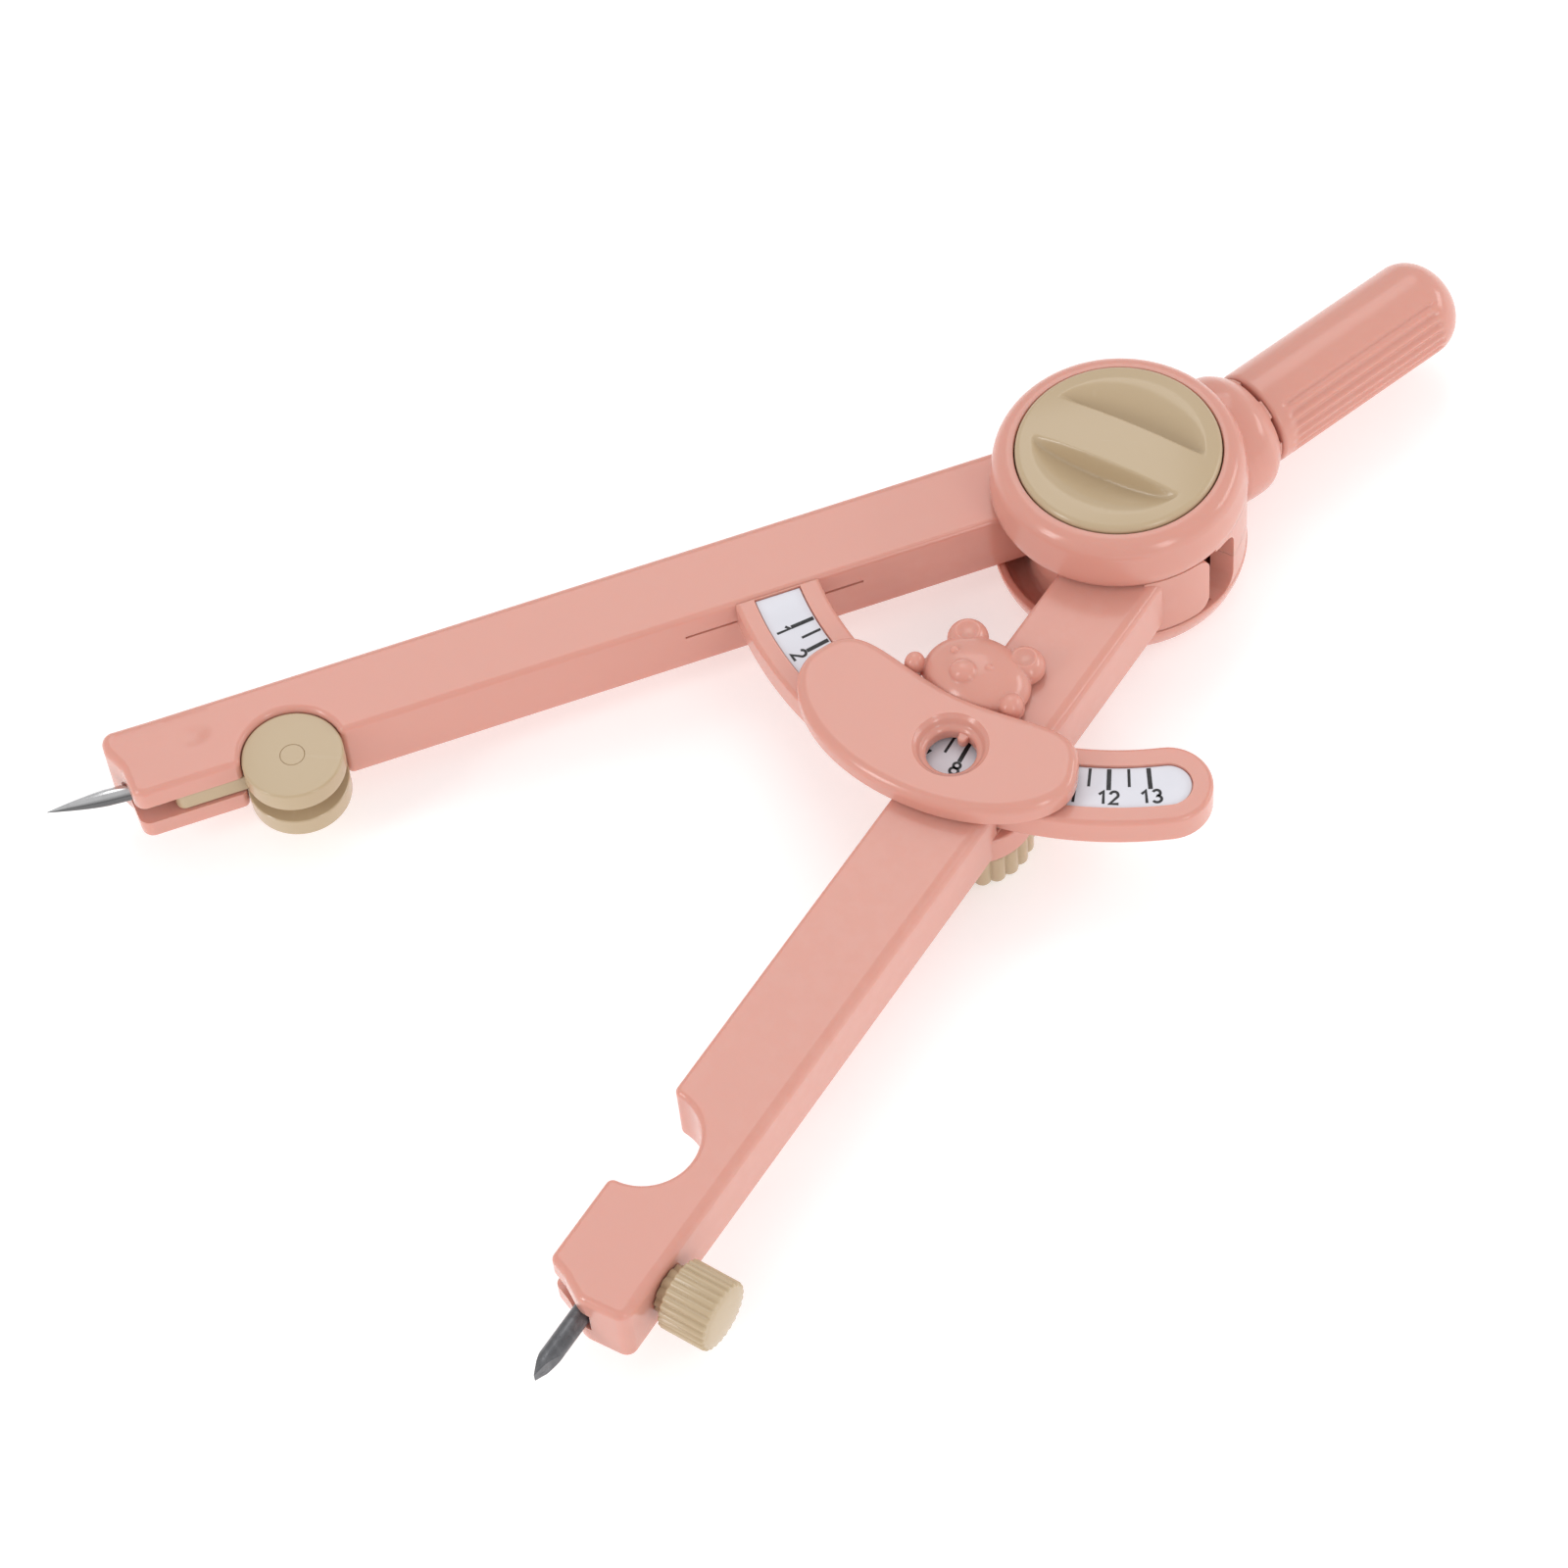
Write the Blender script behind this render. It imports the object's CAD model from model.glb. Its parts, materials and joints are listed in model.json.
"""Looks of the drawing compass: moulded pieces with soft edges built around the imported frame.

Lengths are metres. Each leg's pieces are drawn in that leg's own frame: X runs from the pivot
to the tip, Y across the leg and Z up from the legs' middle plane.
"""

import json
import math

import bmesh
import bpy
from mathutils import Matrix, Vector


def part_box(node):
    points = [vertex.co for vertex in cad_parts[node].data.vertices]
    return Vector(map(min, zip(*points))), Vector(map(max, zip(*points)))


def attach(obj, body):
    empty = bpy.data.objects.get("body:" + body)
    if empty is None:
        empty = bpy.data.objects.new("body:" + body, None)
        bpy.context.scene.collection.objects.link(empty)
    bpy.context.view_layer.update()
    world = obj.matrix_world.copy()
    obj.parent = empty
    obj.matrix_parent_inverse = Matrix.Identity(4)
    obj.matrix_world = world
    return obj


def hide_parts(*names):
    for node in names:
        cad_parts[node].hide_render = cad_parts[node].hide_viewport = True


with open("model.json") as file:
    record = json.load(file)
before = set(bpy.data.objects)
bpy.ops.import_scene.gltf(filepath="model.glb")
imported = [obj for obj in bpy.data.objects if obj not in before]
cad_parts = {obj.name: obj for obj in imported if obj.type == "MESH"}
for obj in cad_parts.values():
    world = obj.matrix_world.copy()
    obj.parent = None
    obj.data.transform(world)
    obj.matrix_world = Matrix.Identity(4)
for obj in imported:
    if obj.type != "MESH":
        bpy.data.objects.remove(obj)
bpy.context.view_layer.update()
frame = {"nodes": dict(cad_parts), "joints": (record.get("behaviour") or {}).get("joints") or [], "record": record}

MM = 0.001
JOINTS = {joint["name"]: joint for joint in frame["joints"]}
MID_Z = JOINTS["needle_leg_hinge"]["pos_m"][2]
LEAD_LINE = JOINTS["lead_slide"]["axis"]
LEAD_HEADING = math.degrees(math.atan2(LEAD_LINE[1], LEAD_LINE[0]))
NEEDLE_HEADING = -180 - LEAD_HEADING


def spin(degrees, axis="Z"):
    return Matrix.Rotation(math.radians(degrees), 4, axis)


def leg_frame(heading):
    """Places a mesh drawn in a leg's own frame, or in the hub's for heading 0."""
    return Matrix.Translation((0, 0, MID_Z)) @ spin(heading)


HUB = leg_frame(0)
NEEDLE_SIDE = leg_frame(NEEDLE_HEADING)
LEAD_SIDE = leg_frame(LEAD_HEADING)


def on_leg(joint, place):
    """A joint's point in a leg's own frame."""
    return place.inverted() @ Vector(JOINTS[joint]["pos_m"])


def on_plane(x, y=0.0):
    """Places a mesh beside its leg's pivot."""
    return Matrix.Translation((x, y, 0))


def width_of(node, axis):
    low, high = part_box(node)
    return high[axis] - low[axis]


# Legs
HALF_HEIGHT = width_of("needle_leg", 2) / 2
NEEDLE_LEG_INNER = -0.6 * MM
NEEDLE_LEG_OUTER = -9.2 * MM
LEAD_LEG_INNER = 0.15 * MM
LEAD_LEG_OUTER = 9.65 * MM
LEG_END = 102.75 * MM
HEAD_RADIUS = 9.3 * MM
HEAD_LAP = 0.5 * MM
OUTER_ROLL = 1.15 * MM
LOWER_ROLL = 0.9 * MM
INNER_ROLL = 0.6 * MM
END_ROLL = 0.8 * MM
SLOT_HALF = 1.3 * MM

# Hub and handle
HUB_RADIUS = width_of("upper_housing", 0) / 2
KNOB_RADIUS = width_of("hub_knob", 0) / 2 + 0.02 * MM
KNOB_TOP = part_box("hub_knob")[1].z - MID_Z
GRIP_RADIUS = width_of("handle_grip", 0) / 2
GRIP_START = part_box("handle_grip")[0].y
GRIP_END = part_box("handle_grip")[1].y
DOME_START = GRIP_END - 4.05 * MM
NECK_END = GRIP_START - 0.12 * MM
NECK_RADIUS = 4.85 * MM
COLLAR_RADIUS = 6.66 * MM
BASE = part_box("lower_housing")[0].z - MID_Z
BOLT_HOLE = 1.8 * MM

# Fittings on the legs
HOLDER = on_leg("needle_fold", NEEDLE_SIDE)
HOLDER_PLACE = on_plane(HOLDER.x, HOLDER.y)
CLAMP = on_leg("lead_clamp_turn", LEAD_SIDE)
LOCK = on_leg("scale_lock_turn", LEAD_SIDE)
LOCK_HOLE = 1.55 * MM
DISC_RADIUS = 5.0 * MM
DISC_TOP = 3.3 * MM
ARM_SLOT_END = 98.4 * MM
ARM_LENGTH = 11.95 * MM
NEEDLE_TILT = -4.7
NEEDLE_OFFSET = -2.72 * MM
NEEDLE_TIP = 24.44 * MM
NEEDLE_RADIUS = 0.84 * MM
LEAD_Y = 4.45 * MM
LEAD_START = 92.6 * MM
LEAD_TIP = 109.8 * MM
LEAD_RADIUS = 1.0 * MM

# Scale
ARC_INNER = 31.3 * MM
ARC_OUTER = 40.0 * MM
ARC_BOTTOM = 0.4 * MM
ARC_END = 76.1
LABEL_INNER = 33.45 * MM
LABEL_OUTER = 38.0 * MM
COVER_BOTTOM = 4.1 * MM
COVER_TOP = 6.5 * MM
COVER_MIDDLE = 36.9 * MM
COVER_HALF_WIDTH = 6.2 * MM
COVER_HALF_ANGLE = 24.0
COVER_HEADING = 0.46
COVER_BEND = 1.6 * MM
COVER_SQUARENESS = 2.7
WINDOW_RADIUS = 36.3 * MM
WINDOW_HEADING = 4.66
POINTER_HEADING = 4.93
POINTER_END = 34.7 * MM

# ---- outlines and meshes


def polar(radius, degrees):
    angle = math.radians(degrees)
    return Vector((radius * math.cos(angle), radius * math.sin(angle)))


def arc(radius, start, end, steps, centre=(0, 0)):
    """Points on an arc from start to end degrees, both included."""
    turn = (end - start) / steps
    return [Vector(centre) + polar(radius, start + turn * i) for i in range(steps + 1)]


def circle(radius, steps, centre=(0, 0)):
    return arc(radius, 0, 360, steps, centre)[:-1]


def sector(inner, outer, start, end, steps):
    return arc(outer, start, end, steps) + arc(inner, end, start, steps)


def rectangle(x0, y0, x1, y1):
    return [Vector((x0, y0)), Vector((x1, y0)), Vector((x1, y1)), Vector((x0, y1))]


def in_mm(*points):
    """Points given in millimetres, as metres."""
    return [(x * MM, y * MM) for x, y in points]


def cross(a, b):
    return a.x * b.y - a.y * b.x


def rounded(corners, radii, steps=8):
    """An anticlockwise outline with each corner rounded to its own radius, hollow corners too."""
    points = []
    for i, radius in enumerate(radii):
        here = Vector(corners[i])
        back = (Vector(corners[i - 1]) - here).normalized()
        ahead = (Vector(corners[(i + 1) % len(corners)]) - here).normalized()
        if radius == 0:
            points.append(here)
            continue
        half = back.angle(ahead) / 2
        centre = here + (back + ahead).normalized() * (radius / math.sin(half))
        first = here + back * (radius / math.tan(half)) - centre
        turn = math.copysign(math.pi - 2 * half, cross(ahead, back))
        for step in range(steps + 1):
            points.append(centre + Matrix.Rotation(turn * step / steps, 2) @ first)
    return points


def resampled(points, spacing):
    """Adds points to the outline's long edges, so that it can bend and shade evenly."""
    dense = []
    for i, here in enumerate(points):
        after = points[(i + 1) % len(points)]
        pieces = max(1, math.ceil((after - here).length / spacing))
        dense += [here.lerp(after, step / pieces) for step in range(pieces)]
    return dense


def notch(centre, radius, edge, corner, steps=40):
    """The round notch in an edge at y = edge, with rounded corners, in the +X direction."""
    lift = edge + corner
    reach = math.sqrt((radius + corner) ** 2 - (lift - centre[1]) ** 2)
    left, right = Vector((centre[0] - reach, lift)), Vector((centre[0] + reach, lift))
    slope = math.degrees(math.atan2(lift - centre[1], reach))
    points = arc(corner, -90, -slope, 8, left)[:-1]
    points += arc(radius, 180 - slope, slope, steps, centre)
    return points + arc(corner, 180 + slope, 270, 8, right)[1:]


def bridge(bm, first, second):
    """Joins two rings of the same length, or a ring and a single point."""
    steps = max(len(first), len(second))
    for j in range(steps):
        k = (j + 1) % steps
        corners = [first[j % len(first)], first[k % len(first)]]
        corners += [second[k % len(second)], second[j % len(second)]]
        bm.faces.new(list(dict.fromkeys(corners)))


def outwards(bm):
    bmesh.ops.recalc_face_normals(bm, faces=bm.faces)
    return bm


def ring_at(bm, radius, height, steps):
    """A ring of points about Z, or the single point at radius 0."""
    points = circle(radius, steps) if radius else [(0, 0)]
    return [bm.verts.new((*point, height)) for point in points]


def skin(bm, rings):
    """Joins each ring to the next and closes both ends, unless they are single points."""
    for first, second in zip(rings, rings[1:]):
        bridge(bm, first, second)
    for ring in (rings[0], rings[-1]):
        if len(ring) > 1:
            bm.faces.new(ring)
    return outwards(bm)


def plate(outline, low, high, top=0.0, bottom=0.0, steps=6):
    """A slab of an anticlockwise outline with rolled rims. A rim's radius may differ by point."""
    count = len(outline)
    tops = top if isinstance(top, list) else [top] * count
    bottoms = bottom if isinstance(bottom, list) else [bottom] * count
    inward = []
    for i, here in enumerate(outline):
        along = (here - outline[i - 1]).normalized()
        along += (outline[(i + 1) % count] - here).normalized()
        along.normalize()
        inward.append(Vector((-along.y, along.x)))
    bm = bmesh.new()
    rings = []
    # The lower rim rolls outwards on its way up, and the upper rim rolls back in.
    for edge, side, radii in ((low, 1, bottoms), (high, -1, tops)):
        turns = [90 * step / steps for step in range(steps + 1)] if max(radii) else [90]
        for turn in turns[::side]:
            aside, rise = 1 - polar(1, turn).y, 1 - polar(1, turn).x
            ring = []
            for point, normal, radius in zip(outline, inward, radii):
                place = point + normal * radius * aside
                ring.append(bm.verts.new((*place, edge + side * radius * rise)))
            rings.append(ring)
    return skin(bm, rings)


def smoothed(values, passes):
    """Evens out the step between neighbours in a closed list."""
    count = len(values)
    for _ in range(passes):
        after = values[1:] + values[:1]
        values = [(values[i - 1] + 2 * values[i] + after[i]) / 4 for i in range(count)]
    return values


def turned(profile, steps=128):
    """A closed mesh of the (radius, height) loop turned about Z. A point at radius 0 is a pole."""
    bm = bmesh.new()
    rings = [ring_at(bm, radius, height, steps) for radius, height in profile]
    for i, ring in enumerate(rings):
        after = rings[(i + 1) % len(rings)]
        if len(ring) > 1 or len(after) > 1:
            bridge(bm, ring, after)
    return outwards(bm)


def softened(profile, radius, steps=4):
    """Rounds every corner of a turned profile that is off its axis."""
    points = [Vector(point) for point in profile]
    soft = []
    for i, here in enumerate(points):
        back, ahead = points[i - 1] - here, points[(i + 1) % len(points)] - here
        if here.x == 0 or back.length < 1e-9 or ahead.length < 1e-9:
            soft.append(tuple(here))
            continue
        reach = min(radius, back.length * 0.45, ahead.length * 0.45)
        start, end = here + back.normalized() * reach, here + ahead.normalized() * reach
        for step in range(steps + 1):
            share = step / steps
            bent = start.lerp(here, share).lerp(here.lerp(end, share), share)
            soft.append(tuple(bent))
    return soft


def ellipsoid(centre, size, steps):
    """An ellipsoid whose centre and half sizes are given in millimetres."""
    bm = bmesh.new()
    bmesh.ops.create_uvsphere(bm, u_segments=steps, v_segments=steps // 2, radius=1)
    bmesh.ops.scale(bm, verts=bm.verts, vec=[value * MM for value in size])
    bmesh.ops.translate(bm, verts=bm.verts, vec=[value * MM for value in centre])
    return bm


def moved(bm, matrix):
    bmesh.ops.transform(bm, matrix=matrix, verts=bm.verts)
    return bm


def along_y(bm):
    """Turns a mesh drawn about +Z so that it runs along +Y."""
    return moved(bm, spin(-90, "X"))


def along_x(bm):
    return moved(bm, spin(90, "Y"))


def block(x0, y0, x1, y1, low, high):
    return plate(rectangle(x0, y0, x1, y1), low, high)


def cylinder(radius, low, high, centre=(0, 0), steps=96):
    return plate(circle(radius, steps, centre), low, high)


# ---- pieces


def new_object(name, bm):
    mesh = bpy.data.meshes.new(name)
    bm.to_mesh(mesh)
    bm.free()
    obj = bpy.data.objects.new(name, mesh)
    bpy.context.scene.collection.objects.link(obj)
    return obj


def settle(obj):
    """Bakes the object's modifiers into its mesh."""
    graph = bpy.context.evaluated_depsgraph_get()
    mesh = bpy.data.meshes.new_from_object(obj.evaluated_get(graph))
    obj.modifiers.clear()
    obj.data = mesh


def shape(obj, operation, meshes):
    """Cuts meshes from obj, or joins them to it."""
    for bm in meshes:
        helper = new_object("helper", bm)
        modifier = obj.modifiers.new(operation, "BOOLEAN")
        modifier.operation = operation
        modifier.solver = "EXACT"
        modifier.object = helper
        settle(obj)
        bpy.data.objects.remove(helper)


def cut(obj, *meshes):
    shape(obj, "DIFFERENCE", meshes)


def join(obj, *meshes):
    shape(obj, "UNION", meshes)


def ease(obj, width, segments=2, sharp=34):
    """Rounds the edges that the cuts left sharp."""
    bm = bmesh.new()
    bm.from_mesh(obj.data)
    bmesh.ops.remove_doubles(bm, verts=bm.verts, dist=0.002 * MM)
    bmesh.ops.dissolve_limit(bm, angle_limit=math.radians(0.4), verts=bm.verts, edges=bm.edges)
    limit = math.radians(sharp)
    edges = [e for e in bm.edges if len(e.link_faces) == 2 and e.calc_face_angle() > limit]
    bmesh.ops.bevel(
        bm,
        geom=edges,
        offset=width,
        segments=segments,
        profile=0.5,
        affect="EDGES",
        clamp_overlap=True,
    )
    bm.to_mesh(obj.data)
    bm.free()


def finish_piece(obj, place, body, nodes, finish, sharp=50):
    """Puts the piece in place, shades it, and ties it to its body and its nodes."""
    obj.data.transform(place)
    obj.data.materials.clear()
    obj.data.materials.append(finish)
    obj.data.shade_smooth()
    obj.data.set_sharp_from_angle(angle=math.radians(sharp))
    even = obj.modifiers.new("even_normals", "WEIGHTED_NORMAL")
    even.keep_sharp = True
    even.weight = 80
    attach(obj, body)
    if nodes:
        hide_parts(*nodes)
    return obj


# ---- materials


class Shading:
    """A new material, with short ways to add the nodes that its surface needs."""

    def __init__(self, name, metallic=0.0):
        self.material = bpy.data.materials.new(name)
        self.material.use_nodes = True
        self.tree = self.material.node_tree
        self.surface = self.tree.nodes["Principled BSDF"]
        self.fill(self.surface, {"Metallic": metallic, "IOR": 1.46})
        self.coords = self.add("ShaderNodeTexCoord").outputs["Object"]

    def fill(self, node, inputs):
        """Gives each input its value, or a link when the value is another node's output."""
        for name, value in inputs.items():
            if isinstance(value, bpy.types.NodeSocket):
                self.tree.links.new(value, node.inputs[name])
            else:
                node.inputs[name].default_value = value

    def add(self, kind, inputs=None, **settings):
        node = self.tree.nodes.new(kind)
        for key, value in settings.items():
            setattr(node, key, value)
        self.fill(node, inputs or {})
        return node

    def noise(self, scale, detail=3.0, roughness=0.55, distortion=0.0, coords=None):
        inputs = {"Vector": self.coords if coords is None else coords, "Scale": scale}
        inputs |= {"Detail": detail, "Roughness": roughness, "Distortion": distortion}
        return self.add("ShaderNodeTexNoise", inputs).outputs["Fac"]

    def mapping(self, scale, rotation=(0, 0, 0)):
        inputs = {"Vector": self.coords, "Scale": scale, "Rotation": rotation}
        return self.add("ShaderNodeMapping", inputs).outputs["Vector"]

    def spread(self, value, low, high, to_low=0.0, to_high=1.0):
        """Maps a value's range to another, clamped."""
        inputs = {"From Min": low, "From Max": high, "To Min": to_low, "To Max": to_high}
        return self.add("ShaderNodeMapRange", inputs | {"Value": value}).outputs["Result"]

    def math(self, operation, first, second):
        inputs = {0: first, 1: second}
        return self.add("ShaderNodeMath", inputs, operation=operation).outputs["Value"]

    def times(self, first, second):
        return self.math("MULTIPLY", first, second)

    def mix(self, share, first, second):
        """A colour between two others. The sockets of the node's colours are 6 and 7."""
        inputs = {0: share, 6: first, 7: second}
        return self.add("ShaderNodeMix", inputs, data_type="RGBA").outputs[2]

    def bump(self, height, distance, strength, base=None):
        inputs = {"Height": height, "Distance": distance, "Strength": strength}
        if base is not None:
            inputs["Normal"] = base
        normal = self.add("ShaderNodeBump", inputs).outputs["Normal"]
        self.fill(self.surface, {"Normal": normal})
        return normal

    def finished(self, base, roughness, **others):
        """Fills the surface's sockets. An underscore in a name stands for a space."""
        self.fill(self.surface, {"Base Color": base, "Roughness": roughness})
        self.fill(self.surface, {name.replace("_", " "): value for name, value in others.items()})
        return self.material


def shade(colour, factor):
    return tuple(channel * factor for channel in colour[:3]) + (1.0,)


def towards_white(colour, share):
    return tuple((1 - share) * channel + share for channel in colour[:3]) + (1.0,)


def worn_edges(made):
    """1 on the sharpest outer edges, broken up by noise."""
    edges = made.spread(made.add("ShaderNodeNewGeometry").outputs["Pointiness"], 0.53, 0.62)
    return made.times(edges, made.spread(made.noise(420, 4), 0.42, 0.62))


def scratches(made):
    """Fine lines drawn out along one direction, on some patches only."""
    turn = (0.1, 0.2, math.radians(LEAD_HEADING) + 0.25)
    lines = made.noise(330, 2, 0.5, 0.6, made.mapping((1.0, 14.0, 1.0), turn))
    centre = made.math("ABSOLUTE", made.math("SUBTRACT", lines, 0.5), 0)
    line = made.spread(centre, 0.0, 0.035, 1.0, 0.0)
    return made.times(line, made.spread(made.noise(160, 2), 0.52, 0.68))


def moulded(name, colour, roughness, subsurface, glow):
    """Injection-moulded plastic: faint flow marks, orange peel, handling marks, worn edges."""
    made = Shading(name)
    wear, lines, pale = worn_edges(made), scratches(made), towards_white(colour, 0.25)
    clouds = made.spread(made.noise(75), 0.3, 0.7)
    flow = made.spread(made.noise(900, 2, 0.5, 0.4), 0.35, 0.65)
    base = made.mix(clouds, shade(colour, 0.996), shade(colour, 1.004))
    base = made.mix(made.times(flow, 0.04), base, shade(colour, 1.03))
    base = made.mix(made.times(wear, 0.07), base, pale)
    base = made.mix(made.times(lines, 0.008), base, pale)
    rough = made.spread(made.noise(120), 0.3, 0.72, roughness - 0.008, roughness + 0.012)
    rough = made.math("ADD", rough, made.times(wear, 0.06))
    rough = made.math("ADD", rough, made.times(lines, 0.02))
    peel = made.bump(made.noise(1700, 2, 0.45), 0.004 * MM, 0.4)
    made.bump(made.times(lines, -1), 0.001 * MM, 0.3, peel)
    return made.finished(
        base,
        rough,
        Subsurface_Weight=subsurface,
        Subsurface_Radius=glow,
        Subsurface_Scale=1.2 * MM,
        Specular_IOR_Level=0.5,
    )


def ground_metal(name, colour, roughness, grain):
    """Bright metal with fine marks and faint stains, darker where it doesn't face up."""
    made = Shading(name, metallic=1.0)
    marks = made.noise(2600, 3, 0.6, coords=made.mapping(grain))
    stains = made.spread(made.noise(500, 4), 0.4, 0.7)
    normal = made.add("ShaderNodeNewGeometry").outputs["Normal"]
    facing = made.add("ShaderNodeSeparateXYZ", {"Vector": normal}).outputs["Z"]
    base = made.mix(stains, colour, shade(colour, 0.82))
    base = made.mix(made.spread(facing, 0.5, 0.84), shade(colour, 0.22), base)
    made.bump(marks, 0.004 * MM, 0.5)
    return made.finished(base, made.spread(marks, 0.3, 0.7, roughness - 0.05, roughness + 0.09))


def printed_label(name, colour):
    """Smooth white strip with a faint paper tooth."""
    made = Shading(name)
    tooth = made.noise(5200, 4, 0.6)
    clouds = made.spread(made.noise(240), 0.35, 0.65)
    made.bump(tooth, 0.003 * MM, 0.35)
    base = made.mix(clouds, shade(colour, 0.965), colour)
    return made.finished(base, made.spread(tooth, 0.3, 0.7, 0.42, 0.56))


def ink(name):
    """Black print, a little uneven, with paler worn specks."""
    made = Shading(name)
    specks = made.spread(made.noise(4200), 0.62, 0.78, 0.0, 0.5)
    base = made.mix(specks, (0.012, 0.012, 0.014, 1), (0.12, 0.12, 0.13, 1))
    made.bump(made.noise(3800), 0.003 * MM, 0.4)
    return made.finished(base, made.spread(made.noise(2500), 0.3, 0.7, 0.4, 0.6))


def graphite(name):
    """Dark lead with a silvery burnish and fine pits."""
    made = Shading(name, metallic=0.6)
    burnish = made.spread(made.noise(700, 4, 0.6, 0.8), 0.4, 0.65)
    grain = made.noise(6500, 3, 0.7)
    base = made.mix(burnish, (0.12, 0.122, 0.13, 1), (0.17, 0.173, 0.182, 1))
    base = made.mix(made.spread(grain, 0.60, 0.74), base, (0.05, 0.05, 0.053, 1))
    made.bump(grain, 0.02 * MM, 0.6)
    return made.finished(base, made.spread(burnish, 0.0, 1.0, 0.40, 0.28))


PINK = moulded("pink_plastic", (0.685, 0.325, 0.262), 0.18, 0.30, (1.0, 0.4, 0.25))
CREAM = moulded("cream_plastic", (0.515, 0.391, 0.247), 0.20, 0.06, (1.0, 0.8, 0.5))
NYLON = moulded("nylon", (0.80, 0.79, 0.74), 0.45, 0.10, (1.0, 0.9, 0.8))
STEEL = ground_metal("needle_steel", (0.66, 0.66, 0.67, 1), 0.20, (1.0, 1.0, 1.0))
BRASS = ground_metal("brass", (0.78, 0.58, 0.28, 1), 0.28, (1.0, 1.0, 6.0))
LABEL = printed_label("label", (0.74, 0.74, 0.80, 1.0))
INK = ink("scale_ink")
GRAPHITE = graphite("graphite")

# ---- hub and handle

WALL_START = 22.5
WALL_INNER = 10.1 * MM
WALL_OUTER = HUB_RADIUS - 0.1 * MM
WINDOW_CORNER = 1.8 * MM
PLATE_LOW = 4.2 * MM
DISH_RIM = -4.1 * MM
POCKET_RADIUS = 6.3 * MM
POCKET_ROOF = 4.8 * MM


def wall_sector(low, high, steps=48):
    """The hub's back wall, reaching past the ends of its side windows."""
    return plate(sector(WALL_INNER, WALL_OUTER, 8, 172, steps), low, high)


def round_ended(angle, turn, low, high, corner):
    """A block through the hub's wall. Its end at the angle has rounded corners."""
    outline = rounded(rectangle(-8 * MM, low, 0, high), (0, corner, corner, 0))
    block = plate(outline, 8 * MM, 15 * MM)
    along = polar(1, angle)
    across = Vector((-along.y, along.x)) * turn
    place = Matrix(((*across, 0), (0, 0, 1), (*along, 0))).transposed().to_4x4()
    return outwards(moved(block, place))


def side_windows():
    """Cutters for the two windows beside the back wall."""
    edges = ((WALL_START, 1), (180 - WALL_START, -1))
    return [round_ended(*edge, DISH_RIM, PLATE_LOW, WINDOW_CORNER) for edge in edges]


def rim_profile():
    """Section of the hub's rim and plate, from the bolt hole round and back to it."""
    floor, recess = 5.6 * MM, KNOB_RADIUS + 0.11 * MM
    profile = [(BOLT_HOLE, floor), (recess, floor), (recess, 9.65 * MM)]
    profile.append((recess + 0.05 * MM, 9.78 * MM))
    for i in range(13):
        across, up = polar(1, 96 - 96 * i / 12)
        profile.append((10.6 * MM + 1.9 * MM * across, 7.7 * MM + 2.15 * MM * up))
    profile += [(HUB_RADIUS - 0.07 * MM, 6.6 * MM), (HUB_RADIUS, 5.6 * MM)]
    profile += [(HUB_RADIUS - 0.03 * MM, 4.8 * MM), (HUB_RADIUS - 0.25 * MM, PLATE_LOW)]
    profile += [(POCKET_RADIUS, PLATE_LOW), (POCKET_RADIUS, POCKET_ROOF)]
    return profile + [(BOLT_HOLE, POCKET_ROOF)]


def upper_housing():
    """Rim and plate of the hub, the upper half of its back wall, the collar and the neck."""
    obj = new_object("hub_upper_housing", turned(rim_profile(), 192))
    join(obj, wall_sector(-0.02 * MM, 4.6 * MM))
    cut(obj, *side_windows())
    collar = in_mm((0, 10.2), (5.0, 10.2), (6.3, 10.9), (6.55, 11.8), (6.64, 12.8), (6.66, 13.8))
    collar += in_mm((6.6, 14.5), (6.45, 15.1), (6.1, 15.7), (5.75, 16.15), (5.4, 16.55))
    collar.append((5.05 * MM, 16.9 * MM))
    collar += [(NECK_RADIUS, 17.0 * MM), (NECK_RADIUS, NECK_END), (0, NECK_END)]
    join(obj, along_y(turned(softened(collar, 0.25 * MM), 128)))
    cut(obj, along_y(cylinder(BOLT_HOLE, 11.5 * MM, 20.0 * MM)))
    for i in range(6):
        slot = block(-1.5 * MM, 3.9 * MM, 1.5 * MM, 6.2 * MM, 16.8 * MM, 18.2 * MM)
        cut(obj, along_y(moved(slot, spin(60 * i))))
    ease(obj, 0.22 * MM, 3)
    return finish_piece(obj, HUB, "head", ["upper_housing"], PINK)


def lower_housing():
    """Dish of the hub with the lower half of the back wall."""
    rim, pocket, floor = DISH_RIM, POCKET_RADIUS, -POCKET_ROOF
    profile = [(BOLT_HOLE, BASE), (10.1 * MM, BASE)]
    profile += in_mm((11.3, -7.7), (12.15, -6.6), (12.6, -5.3), (12.75, -4.4))
    profile += [(12.7 * MM, rim), (11.9 * MM, rim)]
    profile += in_mm((11.6, -5.4), (10.8, -6.2), (9.4, -6.3))
    profile += [(9.0 * MM, rim), (pocket, rim), (pocket, floor), (BOLT_HOLE, floor)]
    obj = new_object("hub_lower_housing", turned(softened(profile, 0.45 * MM), 192))
    join(obj, wall_sector(-4.7 * MM, -0.1 * MM))
    cut(obj, *side_windows())
    cut(obj, plate(circle(3.55 * MM, 6), -9 * MM, -6.1 * MM))
    cut(obj, along_y(cylinder(COLLAR_RADIUS + 0.12 * MM, 9.6 * MM, 16.0 * MM)))
    ease(obj, 0.2 * MM, 3)
    return finish_piece(obj, HUB, "head", ["lower_housing"], PINK)


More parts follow.
